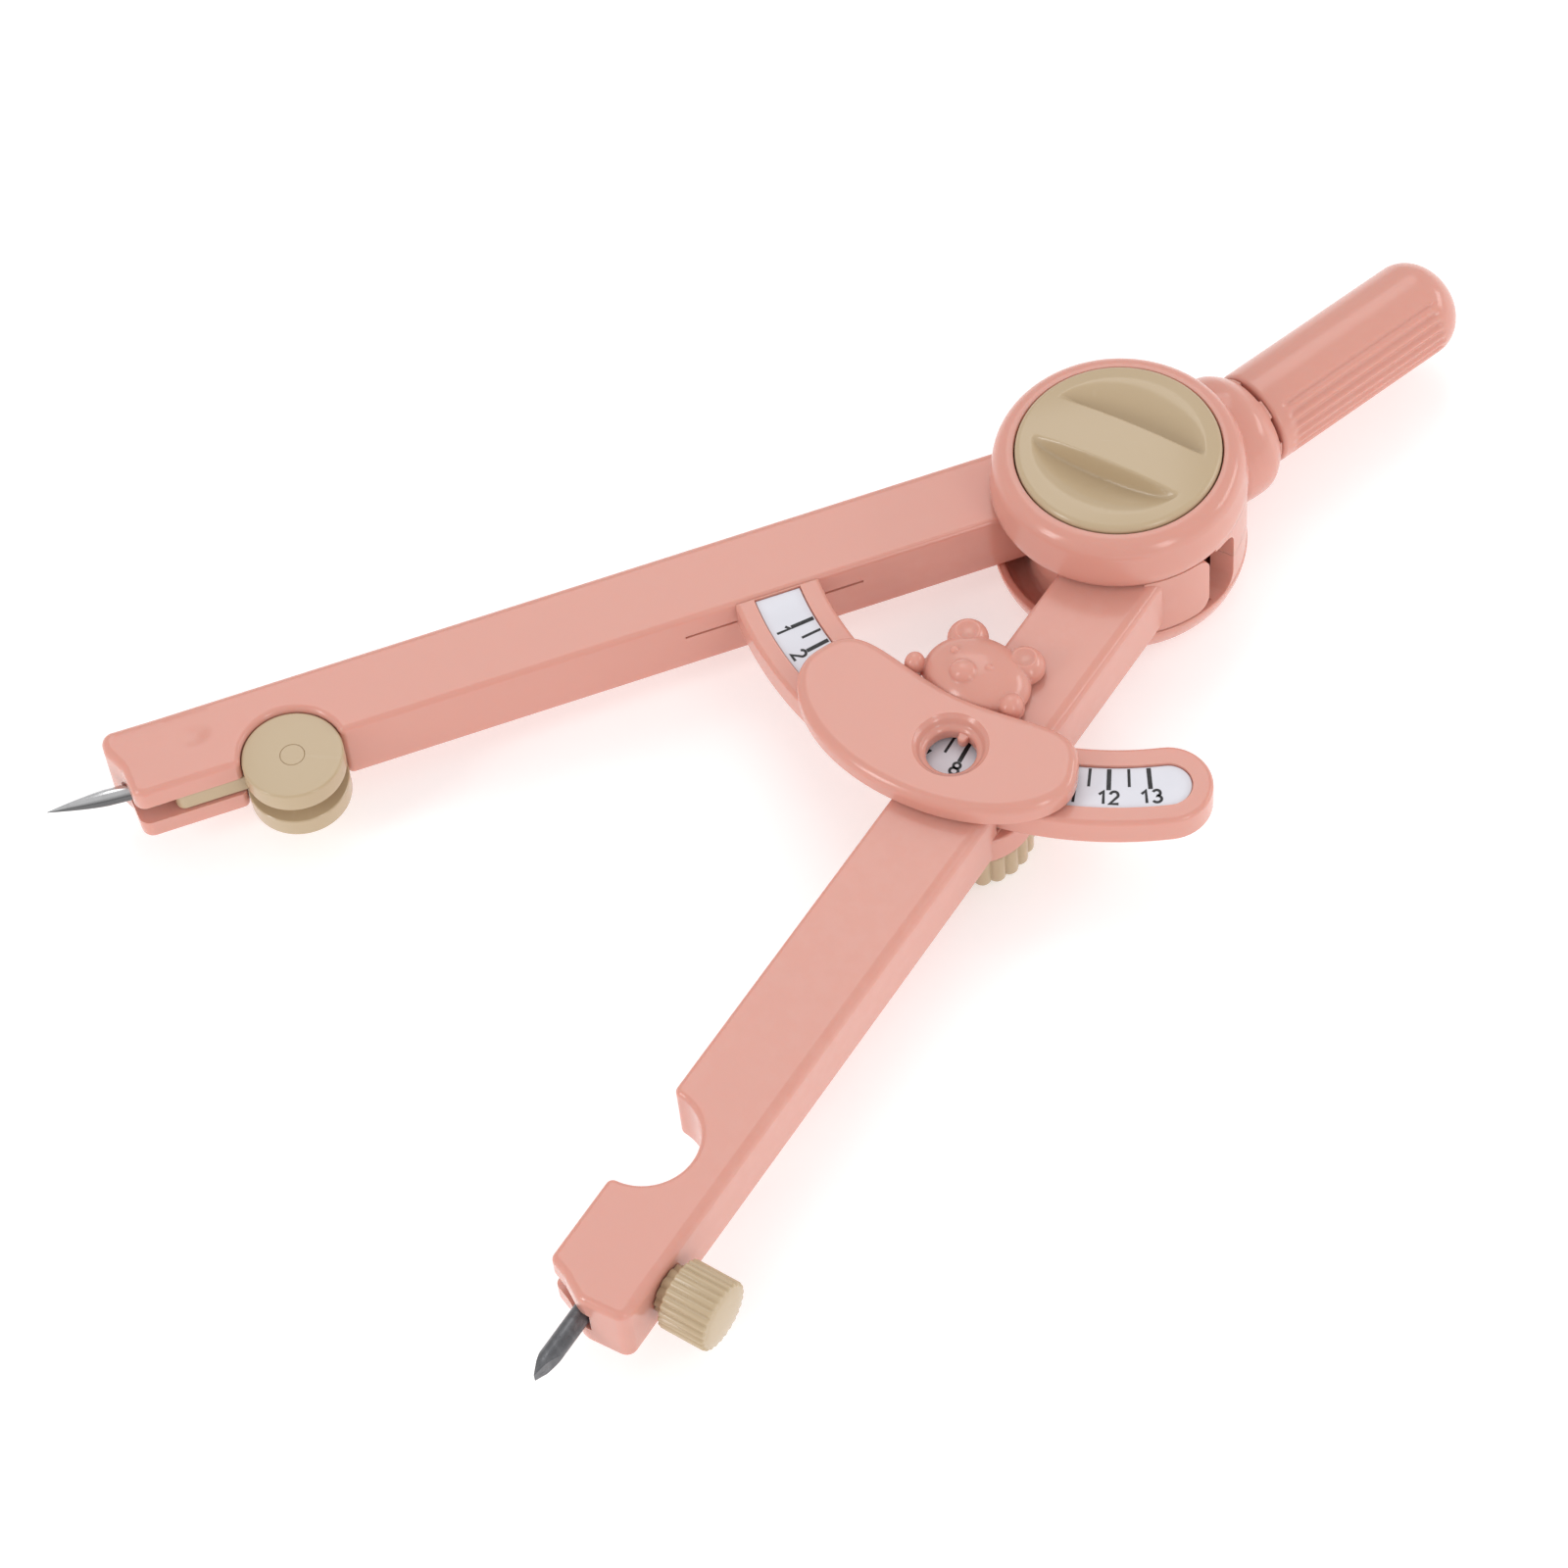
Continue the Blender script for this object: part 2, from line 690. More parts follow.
BAR_HALF = 2.5 * MM
BAR_ANGLE = 21.7
DOME_DROP = 0.95 * MM
SCOOP_REACH = 8.55 * MM
SCOOP_DEPTH = 2.3 * MM
SCOOP_WALL = 0.85 * MM
KNOB_ROLL = 0.6 * MM


def smooth_step(share):
    return share * share * (3 - 2 * share)


def knob_height(x, y):
    """Height of the hub knob's top: a low dome with a D-shaped recess on each side of its bar."""
    height = KNOB_TOP - DOME_DROP * (math.hypot(x, y) / KNOB_RADIUS) ** 2
    turn = Matrix.Rotation(math.radians(-BAR_ANGLE), 2)
    along, across = turn @ Vector((x, y))
    beyond = abs(across) - BAR_HALF
    end = math.sqrt(SCOOP_REACH**2 - BAR_HALF**2)
    if beyond <= 0 or abs(along) >= end:
        return height
    reach = math.sqrt(max(SCOOP_REACH**2 - along**2, 0)) - BAR_HALF
    share = beyond / reach if reach > 0 else 1
    if share >= 1:
        return height
    wall = smooth_step(min(1, beyond / SCOOP_WALL))
    taper = (1 - (along / end) ** 2) ** 0.7
    bowl = (1 + math.cos(math.pi * share**1.1)) / 2
    return height - SCOOP_DEPTH * taper * wall * bowl


def hub_knob():
    """Tightening knob with a domed face, a grip bar and two finger recesses."""
    bm = bmesh.new()
    spokes, count = 360, 92
    flat = KNOB_RADIUS - KNOB_ROLL
    rings = [ring_at(bm, 0, knob_height(0, 0), spokes)]
    for i in range(1, count + 1):
        points = circle(flat * i / count, spokes)
        rings.append([bm.verts.new((*point, knob_height(*point))) for point in points])
    rim = knob_height(flat, 0)
    side = []
    for i in range(1, 7):
        across, up = polar(KNOB_ROLL, 90 - 15 * i)
        side.append((flat + across, rim - KNOB_ROLL + up))
    low, socket, roof = 6.7 * MM, 3.2 * MM, 8.6 * MM
    side += [(KNOB_RADIUS, low), (socket, low), (socket, roof), (0, roof)]
    rings += [ring_at(bm, radius, height, spokes) for radius, height in side]
    obj = new_object("hub_knob_cap", skin(bm, rings))
    return finish_piece(obj, HUB, "hub_knob", ["hub_knob"], CREAM)


FLUTE_PITCH = 13
FLUTE_SPREAD = 58.5
FLUTE_DEPTH = 0.26 * MM
GRIP_ROLL = 0.45 * MM


def grip_radius(height, degrees):
    """Radius of the grip at a height, with soft flutes on the side at 0 degrees."""
    rise = max((height - DOME_START) / (GRIP_END - DOME_START), 0)
    radius = GRIP_RADIUS * math.sqrt(max(1 - rise * rise, 0))
    aside = (degrees + 180) % 360 - 180
    if abs(aside) > FLUTE_SPREAD:
        return radius
    start, end = GRIP_START + 1.2 * MM, DOME_START + 0.3 * MM
    ends = min(max(min(height - start, end - height) / (1.0 * MM), 0), 1)
    edge = min((FLUTE_SPREAD - abs(aside)) / (FLUTE_PITCH / 2), 1)
    wave = 0.5 - 0.5 * math.cos(2 * math.pi * (aside + FLUTE_SPREAD) / FLUTE_PITCH)
    return radius - FLUTE_DEPTH * wave * edge * smooth_step(ends)


def handle():
    """Turning grip with a round end and soft flutes."""
    bm = bmesh.new()
    spokes, socket, lip = 360, 3.3 * MM, 0.25 * MM
    rings = []

    def ring(height, radius=None):
        made = []
        for j in range(spokes):
            degrees = 360 * j / spokes
            reach = grip_radius(height, degrees) if radius is None else radius
            made.append(bm.verts.new((*polar(reach, degrees), height)))
        rings.append(made)

    flat, first = GRIP_RADIUS - GRIP_ROLL, GRIP_START + GRIP_ROLL
    ring(26.8 * MM, socket)
    ring(GRIP_START + lip, socket)
    ring(GRIP_START, socket + lip)
    ring(GRIP_START, flat)
    for i in range(1, 6):
        across, up = polar(GRIP_ROLL, 90 - 18 * i)
        ring(first - up, flat + across)
    steps = 84
    for i in range(1, steps):
        ring(first + (DOME_START - first) * i / steps)
    steps = 32
    for i in range(steps):
        ring(DOME_START + (GRIP_END - DOME_START) * math.sin(math.pi / 2 * i / steps))
    rings.append(ring_at(bm, 0, GRIP_END, spokes))
    obj = new_object("turning_grip", along_y(skin(bm, rings)))
    return finish_piece(obj, HUB, "grip", ["handle_grip"], PINK)


# ---- legs


def rims(outline, near, far, near_roll, far_roll, end_roll):
    """The rolled edge's radius at each point of a leg's outline."""
    values = []
    for point in outline:
        if point.x > LEG_END - 4 * MM:
            share = min((LEG_END - point.x) / (4 * MM), 1)
            side = far_roll if abs(point.y - far) < abs(point.y - near) else near_roll
            values.append(end_roll + (side - end_roll) * share)
        elif abs(point.y - far) < 0.6 * MM:
            values.append(far_roll)
        else:
            values.append(near_roll)
    return smoothed(values, 3)


def leg_bar(name, outline, near, far):
    """A leg's bar with rolled edges, softer on its far side."""
    outline = resampled(outline, 2.0 * MM)
    tops = rims(outline, near, far, INNER_ROLL, OUTER_ROLL, END_ROLL)
    bottoms = rims(outline, near, far, INNER_ROLL, LOWER_ROLL, 0.6 * MM)
    return new_object(name, plate(outline, -HALF_HEIGHT, HALF_HEIGHT, tops, bottoms))


SKIRT_START = 42
SKIRT_END = 75.5
SKIRT_INNER = 11.2 * MM
SKIRT_OUTER = 12.55 * MM


def leg_head(obj, low, high, other_low, other_high, side):
    """The leg's half-lapped round head and the curved wall in the hub's side window."""
    cut(obj, cylinder(HEAD_RADIUS + 0.5 * MM, other_low, other_high))
    join(obj, cylinder(HEAD_RADIUS, low, high))
    low_edge, high_edge = DISH_RIM + 0.1 * MM, PLATE_LOW - 0.1 * MM
    end = SKIRT_END * side
    outline = sector(SKIRT_INNER, SKIRT_OUTER, SKIRT_START * side, end, 24)
    if side < 0:
        outline.reverse()
    skirt = new_object("skirt", plate(outline, low_edge, high_edge))
    corner = WINDOW_CORNER - 0.1 * MM
    shape(skirt, "INTERSECT", [round_ended(end, side, low_edge, high_edge, corner)])
    wall = bmesh.new()
    wall.from_mesh(skirt.data)
    bpy.data.objects.remove(skirt)
    join(obj, wall)
    cut(obj, cylinder(BOLT_HOLE, -5 * MM, 5 * MM))


def needle_leg():
    """The leg with the scale's slot, the disc notch and the slot for the needle's arm."""
    near, far = NEEDLE_LEG_INNER, NEEDLE_LEG_OUTER
    end = LEG_END
    corners = [(0, far), (end, far), (end, -6.9 * MM), (end - 1.1 * MM, -4.4 * MM)]
    corners += [(end - 1.35 * MM, near), (96 * MM, near)]
    outline = rounded(corners, (0, 1.4 * MM, 1.6 * MM, 1.6 * MM, 1.2 * MM, 0))
    centre = (HOLDER.x, -HOLDER.y)
    round_notch = notch(centre, DISC_RADIUS + 0.11 * MM, -near, 0.7 * MM)
    outline += [Vector((point.x, -point.y)) for point in reversed(round_notch)]
    outline.append(Vector((0, near)))
    obj = leg_bar("needle_leg_bar", outline, near, far)
    web = sector(3.5 * MM, DISC_RADIUS + 0.6 * MM, 200, 340, 24)
    web = [point + HOLDER.xy for point in web]
    join(obj, plate(web, -0.7 * MM, 0.7 * MM))
    leg_head(obj, HEAD_LAP, HALF_HEIGHT - 0.06 * MM, -5 * MM, HEAD_LAP + 0.1 * MM, -1)
    start, half = HOLDER.x - 0.3 * MM, SLOT_HALF
    cut(obj, block(start, -5.6 * MM, ARM_SLOT_END, 1.0 * MM, -half, half))
    start, half = ARM_SLOT_END - 1 * MM, SLOT_HALF - 0.02 * MM
    cut(obj, block(start, -4.0 * MM, LEG_END + 2 * MM, 1.1 * MM, -half, half))
    cut(obj, moved(cylinder(1.15 * MM, 12.4 * MM, 20.0 * MM), needle_line()))
    # A fine slit in the inner side, past both sides of the scale.
    cut(obj, block(26.8 * MM, -3.0 * MM, 45.4 * MM, 1.0 * MM, 0.82 * MM, 1.14 * MM))
    ease(obj, 0.13 * MM, 2)
    dimple(obj, (94.2 * MM, -5.4 * MM), 2.4 * MM, 0.17 * MM)
    return finish_piece(obj, NEEDLE_SIDE, "needle_leg", ["needle_leg"], PINK)


def dimple(obj, centre, radius, depth):
    """A faint sink mark on top, where the plastic is thick below."""
    bm = bmesh.new()
    bm.from_mesh(obj.data)
    surface = HALF_HEIGHT - 0.02 * MM
    for point, normal in ellipse_rows(centre, radius):
        faces = [f for f in bm.faces if f.normal.z > 0.999 and f.verts[0].co.z > surface]
        geometry = faces + list({v for f in faces for v in f.verts})
        geometry += list({e for f in faces for e in f.edges})
        bmesh.ops.bisect_plane(bm, geom=geometry, dist=1e-7, plane_co=point, plane_no=normal)
    for vert in bm.verts:
        gap = math.hypot(vert.co.x - centre[0], (vert.co.y - centre[1]) * 1.4) / radius
        if vert.co.z > surface and gap < 1:
            vert.co.z -= depth * (math.cos(math.pi * gap) + 1) / 2
    bm.to_mesh(obj.data)
    bm.free()


def ellipse_rows(centre, radius):
    """Planes that divide the top near a sink mark into a fine grid."""
    rows = []
    for i in range(-10, 11):
        shift = radius * i / 10
        rows.append(((centre[0] + shift, 0, 0), (1, 0, 0)))
        if abs(shift) < radius / 1.4:
            rows.append(((0, centre[1] + shift, 0), (0, 1, 0)))
    return rows


def needle_line():
    """The needle's frame on its leg: Z runs along the needle from beside the discs' axis."""
    aside = Matrix.Translation((0, NEEDLE_OFFSET, 0))
    return HOLDER_PLACE @ spin(NEEDLE_TILT) @ aside @ spin(90, "Y")


def needle_holder():
    """Two thumb discs on a shared hub, with the arm that holds the needle in the leg's slot."""
    groove, mark, roll = 1.0 * MM, 1.15 * MM, 0.25 * MM
    flat, shoulder = DISC_RADIUS - roll, DISC_TOP - roll
    disc = [(0, groove), (DISC_RADIUS - 0.1 * MM, groove), (DISC_RADIUS, groove + 0.1 * MM)]
    disc.append((DISC_RADIUS, shoulder))
    for i in range(1, 6):
        across, up = polar(roll, 18 * i)
        disc.append((flat + across, shoulder + up))
    disc += [(mark + 0.1 * MM, DISC_TOP), (mark + 0.06 * MM, DISC_TOP - 0.09 * MM)]
    disc += [(mark, DISC_TOP), (0, DISC_TOP)]
    obj = new_object("thumb_discs", turned(disc, 160))
    below = moved(turned(disc, 160), spin(180, "X"))
    join(obj, cylinder(2.8 * MM, -1.3 * MM, 1.3 * MM), below)
    near = NEEDLE_LEG_INNER - 0.2 * MM - HOLDER.y
    drop = ARM_LENGTH * math.tan(math.radians(NEEDLE_TILT))
    corners = [(0, NEEDLE_OFFSET - 1.2 * MM), (ARM_LENGTH, NEEDLE_OFFSET - 1.0 * MM + drop)]
    corners += [(ARM_LENGTH, near), (0, near)]
    arm, half, roll = rounded(corners, (0, 0.7 * MM, 0.9 * MM, 0)), 1.05 * MM, 0.18 * MM
    join(obj, plate(arm, -half, half, roll, roll))
    bore = cylinder(0.75 * MM, 4.0 * MM, 15.0 * MM)
    cut(obj, moved(bore, HOLDER_PLACE.inverted() @ needle_line()))
    place = NEEDLE_SIDE @ HOLDER_PLACE
    return finish_piece(obj, place, "needle_holder", ["needle_holder"], CREAM, 30)


def needle():
    """Steel needle with a thin shank in the arm and a rounded taper to its sharp point."""
    start, shoulder, taper, end = 4.4 * MM, 12.3 * MM, 18.4 * MM, NEEDLE_TIP - 0.04 * MM
    shank, thick = 0.5 * MM, NEEDLE_RADIUS
    profile = [(0, start), (shank, start), (shank, shoulder), (thick - 0.1 * MM, shoulder)]
    profile += [(thick, shoulder + 0.15 * MM), (thick, taper)]
    for i in range(1, 21):
        share = i / 20
        radius = thick * (1 - share**1.4) + 0.03 * MM * share
        profile.append((radius, taper + (end - taper) * share))
    profile.append((0, NEEDLE_TIP))
    obj = new_object("needle_point", moved(turned(profile, 64), needle_line()))
    return finish_piece(obj, NEEDLE_SIDE, "needle_holder", ["needle"], STEEL, 30)


def lead_leg():
    """The leg with the scale's channel, the disc notch, the lead's slot and its clamp."""
    near, far = LEAD_LEG_INNER, LEAD_LEG_OUTER
    outline = [Vector((0, near))]
    outline += notch((85.5 * MM, 0.5 * MM), 5.15 * MM, near, 0.75 * MM)
    corners = [(96 * MM, near), (100.4 * MM, near), (101.2 * MM, 2.2 * MM), (LEG_END, 4.8 * MM)]
    corners += [(LEG_END - 0.3 * MM, far), (90 * MM, far)]
    outline += rounded(corners, (0, 0.8 * MM, 1.8 * MM, 2.2 * MM, 1.2 * MM, 0))
    outline.append(Vector((0, far)))
    obj = leg_bar("lead_leg_bar", outline, near, far)
    leg_head(obj, 0.06 * MM - HALF_HEIGHT, -HEAD_LAP, -HEAD_LAP - 0.1 * MM, 5 * MM, 1)
    reach = 6.3 * MM
    boss = [Vector((LOCK.x - reach, 3 * MM)), Vector((LOCK.x + reach, 3 * MM))]
    boss += arc(reach, 0, 180, 48, (LOCK.x, LOCK.y))
    join(obj, plate(boss, -3.6 * MM, -0.2 * MM, 0.3 * MM, 0.3 * MM))
    channel = sector(ARC_INNER - 0.3 * MM, ARC_OUTER + 0.3 * MM, -12, 28, 40)
    cut(obj, plate(channel, ARC_BOTTOM - 0.3 * MM, 5 * MM))
    start, end, half = 92.3 * MM, LEG_END + 2 * MM, SLOT_HALF
    cut(obj, block(start, -1.0 * MM, end, LEAD_Y + 1.25 * MM, -half, half))
    bore = along_y(cylinder(1.2 * MM, 5.0 * MM, 11.0 * MM))
    cut(obj, moved(bore, on_plane(CLAMP.x)))
    side = 2.1 * MM
    cut(obj, block(CLAMP.x - side, 6.9 * MM, CLAMP.x + side, 8.7 * MM, -side, side))
    cut(obj, cylinder(LOCK_HOLE, -5 * MM, 1 * MM, (LOCK.x, LOCK.y)))
    side = 2.5 * MM
    pocket = block(-side, -side, side, side, -2.2 * MM, 1 * MM)
    cut(obj, moved(pocket, on_plane(LOCK.x, LOCK.y)))
    ease(obj, 0.13 * MM, 2)
    return finish_piece(obj, LEAD_SIDE, "lead_leg", ["lead_leg"], PINK)


# ---- scale


def arc_outline(inner, outer, start_inner, start_outer, end, steps=96):
    """A strip along an arc about the pivot, with a half-round free end."""
    half = (outer - inner) / 2
    outline = arc(outer, start_outer, end, steps)
    outline += arc(half, end, end + 180, 24, polar((inner + outer) / 2, end))[1:-1]
    return outline + arc(inner, end, start_inner, steps)


def start_angle(radius, height):
    return math.degrees(math.asin(height / radius))


def label_outline(grow, line, end):
    """The label's strip, cut straight along the leg and rounded at its free corners."""
    inner, outer = LABEL_INNER - grow, LABEL_OUTER + grow
    return arc_outline(inner, outer, start_angle(inner, line), start_angle(outer, line), end)


def arc_scale():
    """The curved scale bar with raised borders, set into the needle leg."""
    face = NEEDLE_LEG_INNER - 0.2 * MM
    starts = start_angle(ARC_INNER, face), start_angle(ARC_OUTER, face)
    outline = arc_outline(ARC_INNER, ARC_OUTER, *starts, ARC_END)
    bm = plate(outline, ARC_BOTTOM, HALF_HEIGHT - 0.02 * MM, 0.5 * MM, 0.35 * MM, 5)
    obj = new_object("scale_bar", bm)
    line = NEEDLE_LEG_INNER + 0.12 * MM
    recess = label_outline(0.12 * MM, line, ARC_END)
    cut(obj, plate(recess, 3.3 * MM, 5 * MM))
    ease(obj, 0.10 * MM, 2)
    piece = finish_piece(obj, NEEDLE_SIDE, "needle_leg", ["arc_scale"], PINK)
    strip = plate(label_outline(0, line + 0.1 * MM, ARC_END), 3.36 * MM, LABEL_TOP, 0.03 * MM)
    label = new_object("scale_strip", strip)
    finish_piece(label, NEEDLE_SIDE, "needle_leg", ["scale_label"], LABEL)
    return piece


# Where the lead's tip is on its leg, and the degrees that the print sits past the pointer.
TIP_REACH = 109.8 * MM
TIP_ASIDE = 4.55 * MM
PRINT_SHIFT = 0.72
LABEL_TOP = 3.51 * MM
PRINT_LOW = LABEL_TOP - 0.02 * MM
PRINT_TOP = LABEL_TOP + 0.025 * MM
TICK_START = LABEL_INNER + 0.12 * MM
NUMBER_TOP = LABEL_INNER + 2.68 * MM


def opening_for(centimetres):
    """Half of the legs' opening, in degrees, when the tips are that far apart."""
    half = centimetres * 5 * MM
    reach = math.hypot(TIP_REACH, TIP_ASIDE)
    return math.degrees(math.asin(half / reach) - math.atan2(TIP_ASIDE, TIP_REACH))


def scale_print():
    """Ticks for every half centimetre and a number for every whole one."""
    bm = bmesh.new()
    for half_steps in range(2, 27):
        whole = half_steps % 2 == 0
        heading = 2 * opening_for(half_steps / 2) + POINTER_HEADING + PRINT_SHIFT
        length, half = in_mm((2.4, 0.215) if whole else (2.05, 0.14))[0]
        end = TICK_START + length
        gather(bm, block(TICK_START, -half, end, half, PRINT_LOW, PRINT_TOP), spin(heading))
        if whole:
            number(bm, str(half_steps // 2), heading)
    obj = new_object("scale_print", bm)
    return finish_piece(obj, NEEDLE_SIDE, "needle_leg", None, INK, 20)


def gather(bm, other, place):
    """Adds another mesh to bm, moved to its place."""
    mesh = bpy.data.meshes.new("part")
    moved(other, place).to_mesh(mesh)
    other.free()
    bm.from_mesh(mesh)


# A digit's width and the gap after it are shares of its height.
DIGIT_HEIGHT = 1.4 * MM
DIGIT_WIDTH = 0.60
DIGIT_GAP = 0.2
STROKE_HALF = 0.135 * MM


def oval(x, y, half_width, half_height, start=0, end=360, steps=28):
    """Points on an oval. A whole one closes on itself, without its first point again."""
    points = circle(1, steps) if end - start == 360 else arc(1, start, end, steps)
    return [(x + half_width * across, y + half_height * up) for across, up in points]


def glyphs():
    """Centre lines of each digit, drawn one unit high, each with whether it closes on itself."""
    two = oval(0.29, 0.72, 0.27, 0.28, 170, -28, 16) + [(0.0, 0.0), (0.6, 0.0)]
    three = oval(0.28, 0.755, 0.25, 0.245, 155, -80, 16)
    three += oval(0.28, 0.265, 0.30, 0.265, 80, -155, 18)
    five = [(0.56, 1.0), (0.13, 1.0)] + oval(0.27, 0.31, 0.31, 0.31, 130, -150, 20)
    six = [(oval(0.6, 0.34, 0.58, 0.66, 100, 168, 10), False), (oval(0.3, 0.3, 0.28, 0.3), True)]
    return {
        "0": [(oval(0.3, 0.5, 0.3, 0.5, steps=32), True)],
        "1": [([(0.06, 0.76), (0.36, 1.0), (0.36, 0.0)], False)],
        "2": [(two, False)],
        "3": [(three, False)],
        "4": [([(0.62, 0.27), (0.0, 0.27), (0.44, 1.0), (0.44, 0.0)], False)],
        "5": [(five, False)],
        "6": six,
        "7": [([(0.0, 1.0), (0.58, 1.0), (0.20, 0.0)], False)],
        "8": [(oval(0.3, 0.76, 0.24, 0.24, steps=26), True), (oval(0.3, 0.27, 0.3, 0.27), True)],
        "9": [([(0.6 - x, 1 - y) for x, y in line], closed) for line, closed in six],
    }


GLYPHS = glyphs()


def ribbon(line, closed, half, low, high):
    """A flat strip of even width along a line of points."""
    points = [Vector(point) for point in line]
    bm = bmesh.new()
    rings = []
    for i, here in enumerate(points):
        back = here - points[i - 1] if i or closed else points[1] - here
        ahead = points[(i + 1) % len(points)] - here if closed or i + 1 < len(points) else back
        back, ahead = back.normalized(), ahead.normalized()
        along = (back + ahead).normalized()
        aside = Vector((-along.y, along.x)) * half / max(along.dot(ahead), 0.55)
        left, right = here + aside, here - aside
        corners = ((*left, high), (*right, high), (*right, low), (*left, low))
        rings.append([bm.verts.new(corner) for corner in corners])
    if not closed:
        return skin(bm, rings)
    for first, second in zip(rings, rings[1:] + rings[:1]):
        bridge(bm, first, second)
    return outwards(bm)


def number(bm, text, heading):
    """A number outside its tick, upright when the pivot is above it."""
    width = len(text) * DIGIT_WIDTH + (len(text) - 1) * DIGIT_GAP
    place = spin(heading) @ on_plane(NUMBER_TOP) @ spin(90)
    for i, letter in enumerate(text):
        start = i * (DIGIT_WIDTH + DIGIT_GAP) - width / 2
        for line, closed in GLYPHS[letter]:
            line = [((x + start) * DIGIT_HEIGHT, (y - 1) * DIGIT_HEIGHT) for x, y in line]
            gather(bm, ribbon(line, closed, STROKE_HALF, PRINT_LOW, PRINT_TOP), place)


# ---- cover and bear


def cover_outline(steps=280):
    """Kidney outline along an arc about the pivot, hollow towards it."""
    power, points = 2 / COVER_SQUARENESS, []
    for i in range(steps):
        turn = 2 * math.pi * i / steps
        along, across = math.cos(turn), math.sin(turn)
        along = math.copysign(abs(along) ** power, along)
        across = math.copysign(abs(across) ** power, across)
        radius = COVER_MIDDLE - COVER_BEND * along**2 - COVER_HALF_WIDTH * across
        points.append(polar(radius, COVER_HEADING + COVER_HALF_ANGLE * along))
    return points


def window_cover():
    """The kidney-shaped cover with its round stepped window and the pointer inside."""
    bm = plate(cover_outline(), COVER_BOTTOM, COVER_TOP, 1.1 * MM, 0.2 * MM, 10)
    obj = new_object("kidney_cover", bm)
    low, top = COVER_BOTTOM - 1 * MM, COVER_TOP
    profile = [(0, low), (2.45 * MM, low), (2.45 * MM, top - 1.3 * MM), (2.75 * MM, top - 1.0 * MM)]
    profile += [(3.0 * MM, top - 0.9 * MM), (3.3 * MM, top - 0.34 * MM)]
    profile += [(3.75 * MM, top + 0.02 * MM), (3.75 * MM, top + 1 * MM), (0, top + 1 * MM)]
    cutter = turned(softened(profile, 0.16 * MM, 3), 128)
    cut(obj, moved(cutter, on_plane(*polar(WINDOW_RADIUS, WINDOW_HEADING))))
    root, end, half = WINDOW_RADIUS - 2.8 * MM, POINTER_END, 0.42 * MM
    corners = [(root, -0.6 * MM), (end, -half), (end, half), (root, 0.6 * MM)]
    finger = rounded(corners, (0, 0.4 * MM, 0.4 * MM, 0))
    bm = plate(finger, COVER_BOTTOM + 0.05 * MM, 5.1 * MM, 0.2 * MM, 0.08 * MM, 4)
    join(obj, moved(bm, spin(POINTER_HEADING)))
    return finish_piece(obj, LEAD_SIDE, "lead_leg", ["window_cover"], PINK, 40)


# The bear's features on its leg, in millimetres. A paw's third value is its radius.
EARS = ((23.75, -2.85), (23.8, 3.6))
PAWS = ((29.2, -5.5, 1.1), (28.85, 5.15, 1.3))
EYES = ((27.0, -2.3), (27.2, 1.7))
BEAR_GRID = 0.085 * MM


def bear():
    """Generic bear in relief, looking over the cover with its paws on the edge."""
    head = ellipsoid((27.3, 0.3, 4.3), (4.5, 5.55, 3.15), 96)
    obj = new_object("bear_relief", head)
    parts, hollows = [], []
    for x, y in EARS:
        parts.append(ellipsoid((x, y, 4.7), (2.05, 2.05, 1.8), 48))
        hollows.append(ellipsoid((x - 0.1, y, 6.7), (1.4, 1.4, 0.85), 40))
    for x, y, radius in PAWS:
        parts.append(ellipsoid((x, y, 5.3), (radius, radius * 0.92, 1.35), 40))
        parts.append(ellipsoid((x - 0.2, y, 4.6), (radius, radius * 0.92, 1.3), 40))
    parts.append(ellipsoid((28.6, -0.25, 6.8), (1.3, 1.5, 1.2), 40))
    join(obj, *parts)
    cut(obj, *hollows)
    join(obj, *[ellipsoid((x, y, 7.22), (0.42, 0.42, 0.34), 24) for x, y in EYES])
    base = COVER_BOTTOM + 0.05 * MM
    cut(obj, block(15 * MM, -10 * MM, 40 * MM, 12 * MM, -1 * MM, base))
    cut(obj, plate(sector(31.6 * MM, 44 * MM, -30, 30, 48), 0, 12 * MM))
    grid = obj.modifiers.new("even_grid", "REMESH")
    grid.mode = "VOXEL"
    grid.voxel_size = BEAR_GRID
    melt = obj.modifiers.new("melt", "SMOOTH")
    melt.factor = 0.5
    melt.iterations = 5
    settle(obj)
    return finish_piece(obj, LEAD_SIDE, "lead_leg", ["bear_face"], PINK, 180)


# ---- lead, clamp and lock


def lead():
    """Graphite stick with a point ground flat on four sides, two of them steep."""
    length = LEAD_TIP - LEAD_START
    profile = [(0, 0), (LEAD_RADIUS - 0.1 * MM, 0), (LEAD_RADIUS, 0.1 * MM)]
    profile += [(LEAD_RADIUS, length), (0, length)]
    obj = new_object("lead_stick", along_x(turned(profile, 64)))
    for turn, slope, reach in ((0, 17, 3.1), (180, 22, 2.4), (90, 18, 1.5), (-90, 18, 1.5)):
        blade = block(0, 0, 8 * MM, 6 * MM, -3 * MM, 3 * MM)
        edge = on_plane(length - reach * MM, LEAD_RADIUS - 0.01 * MM)
        cut(obj, moved(blade, spin(turn, "X") @ edge @ spin(-slope)))
    ease(obj, 0.05 * MM, 2, 30)
    place = LEAD_SIDE @ on_plane(LEAD_START, LEAD_Y)
    return finish_piece(obj, place, "lead", ["lead"], GRAPHITE, 35)


def ribbed(radius, depth, count, steps=12, power=1.0):
    """A round outline with evenly spaced rounded ribs."""
    points = []
    for i in range(count * steps):
        wave = abs(math.sin(math.pi * i / steps)) ** power
        points.append(polar(radius - depth * (1 - wave), 360 * i / (count * steps)))
    return points


